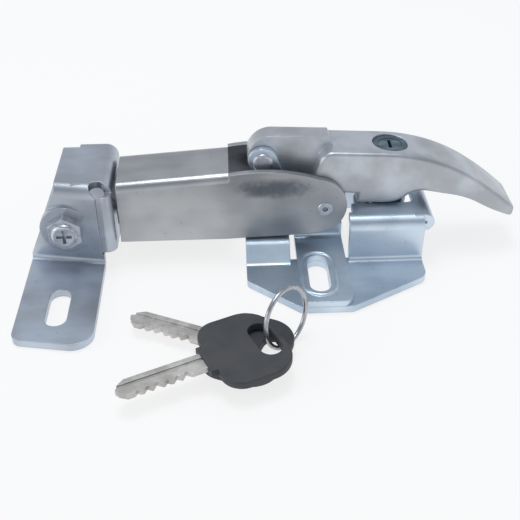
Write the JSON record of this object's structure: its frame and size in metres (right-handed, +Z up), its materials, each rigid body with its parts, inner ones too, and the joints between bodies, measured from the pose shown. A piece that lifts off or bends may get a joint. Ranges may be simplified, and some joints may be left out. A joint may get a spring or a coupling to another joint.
{
  "type": "over-centre draw latch",
  "caption": "Over-centre draw latch: locking claw handle on a sheet-metal base pulls a spring-loaded draw arm that holds a keeper bracket, with keys on a ring",
  "frame": {"origin": "on the mounting plane, midway between the base plate's two slots", "axes": "+Z up out of the mounting plane, +X from the keeper along the arm to the tip of the claw handle, -Y to the side where the keys lie"},
  "size_m": [0.203, 0.1627, 0.0524],
  "materials": {
    "zinc_sheet": "bright zinc plate on pressed steel sheet",
    "satin_casting": "satin silver casting",
    "lock_face": "dark blue-grey lock barrel",
    "plug_face": "dark blue-grey lock plug",
    "bright_steel": "zinc plated turned steel",
    "spring_steel": "spring wire",
    "black_plastic": "black moulded plastic",
    "nickel_blade": "nickel plated brass",
    "ring_steel": "bright split ring wire"
  },
  "bodies": {
    "base": {"base_plate": "zinc_sheet", "clevis_front": "zinc_sheet", "clevis_rear": "zinc_sheet", "pivot_pin": "bright_steel"},
    "handle_body": {"handle": "satin_casting", "lock_barrel": "lock_face", "barrel_clip": "bright_steel"},
    "lock_core": {"lock_plug": "plug_face", "lock_cam": "bright_steel", "cam_washer": "bright_steel", "cam_screw": "bright_steel"},
    "arm": {"draw_arm": "zinc_sheet", "link_pin": "bright_steel", "spring_guide": "zinc_sheet", "draw_spring": "spring_steel"},
    "rod": {"draw_rod": "bright_steel", "rod_washer": "bright_steel", "rod_nut": "bright_steel", "rod_lock_nut": "bright_steel"},
    "keeper": {"keeper_bracket": "zinc_sheet", "keeper_bolt": "bright_steel", "keeper_washer": "bright_steel", "keeper_nut": "bright_steel", "spacer_front": "bright_steel", "spacer_rear": "bright_steel"},
    "ring": {"key_ring": "ring_steel"},
    "key_1": {"key_1_head": "black_plastic", "key_1_blade": "nickel_blade"},
    "key_2": {"key_2_head": "black_plastic", "key_2_blade": "nickel_blade"}
  },
  "joints": [
    {"name": "handle_lift", "type": "hinge", "parent": "base", "child": "handle_body", "pos_m": [-0.0213, 0, 0.0423], "axis": [0, -1, 0], "range_deg": [0, 105]},
    {"name": "arm_swing", "type": "hinge", "parent": "handle_body", "child": "arm", "pos_m": [0.004, 0, 0.0232], "axis": [0, -1, 0], "range_deg": [-105, 0]},
    {"name": "draw_slide", "type": "slide", "parent": "arm", "child": "rod", "axis": [-1, 0, 0], "range_m": [0, 0.01], "stiffness_N_per_m": 4000, "deforming": ["draw_spring"]},
    {"name": "keeper_swing", "type": "hinge", "parent": "rod", "child": "keeper", "pos_m": [-0.102, 0, 0.019], "axis": [0, -1, 0], "range_deg": [-4, 4]},
    {"name": "lock_turn", "type": "hinge", "parent": "handle_body", "child": "lock_core", "pos_m": [0.031, 0, 0.03], "axis": [0, 0, 1], "range_deg": [0, 90]},
    {"name": "key_lift", "type": "slide", "parent": "base", "child": "ring", "axis": [0, 0, 1], "range_m": [0, 0.06]},
    {"name": "key_1_swing", "type": "hinge", "parent": "ring", "child": "key_1", "pos_m": [-0.0214, -0.0765, 0.0056], "axis": [0, 0, 1], "range_deg": [-6, 6]},
    {"name": "key_2_swing", "type": "hinge", "parent": "ring", "child": "key_2", "pos_m": [-0.0214, -0.0765, 0.0056], "axis": [0, 0, 1], "range_deg": [-6, 6]}
  ],
  "couplings": [
    {"joint": "arm_swing", "follows": "handle_lift", "ratio": -1}
  ]
}
